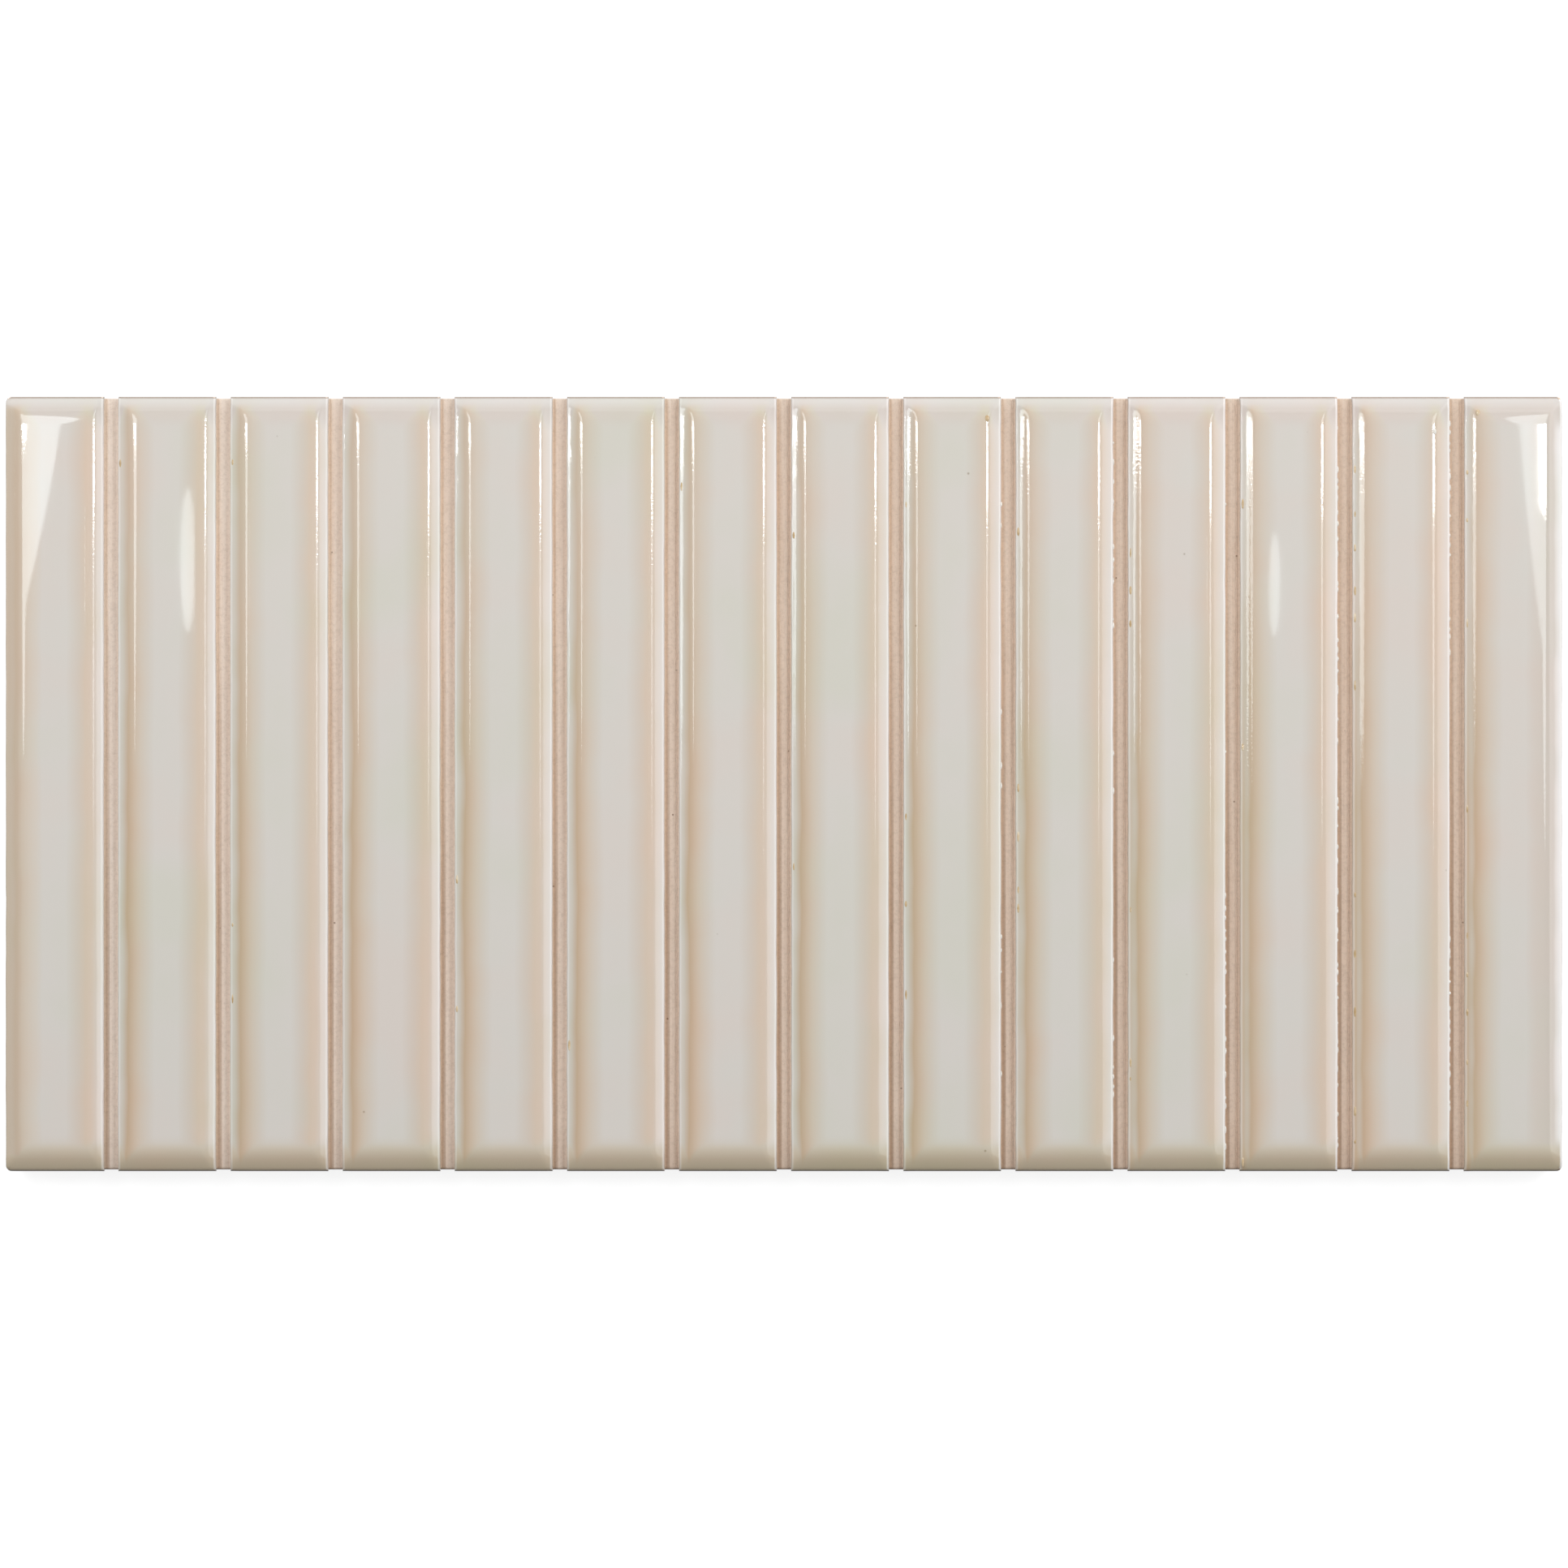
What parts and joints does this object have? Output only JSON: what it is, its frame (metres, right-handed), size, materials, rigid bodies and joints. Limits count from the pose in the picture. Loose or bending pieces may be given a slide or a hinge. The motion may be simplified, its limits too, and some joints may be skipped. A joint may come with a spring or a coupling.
{
  "type": "ceramic wall tile",
  "caption": "Rectangular glazed ceramic wall tile with a row of raised bevelled bars parted by narrow unglazed grooves, and a waffled back that beds into adhesive.",
  "frame": {"origin": "middle of the tile in plan, on the ribs of its back", "axes": "+X across the bars along the long side, +Y along the bars, +Z out of the glazed face"},
  "size_m": [0.25, 0.1244, 0.009],
  "materials": {
    "glaze": "glossy cream glaze, thin and warm along the arrises, over sandy biscuit clay that is bare in the grooves, on the sides and on the back"
  },
  "bodies": {
    "root": {"wall_tile": "glaze"}
  },
  "joints": []
}
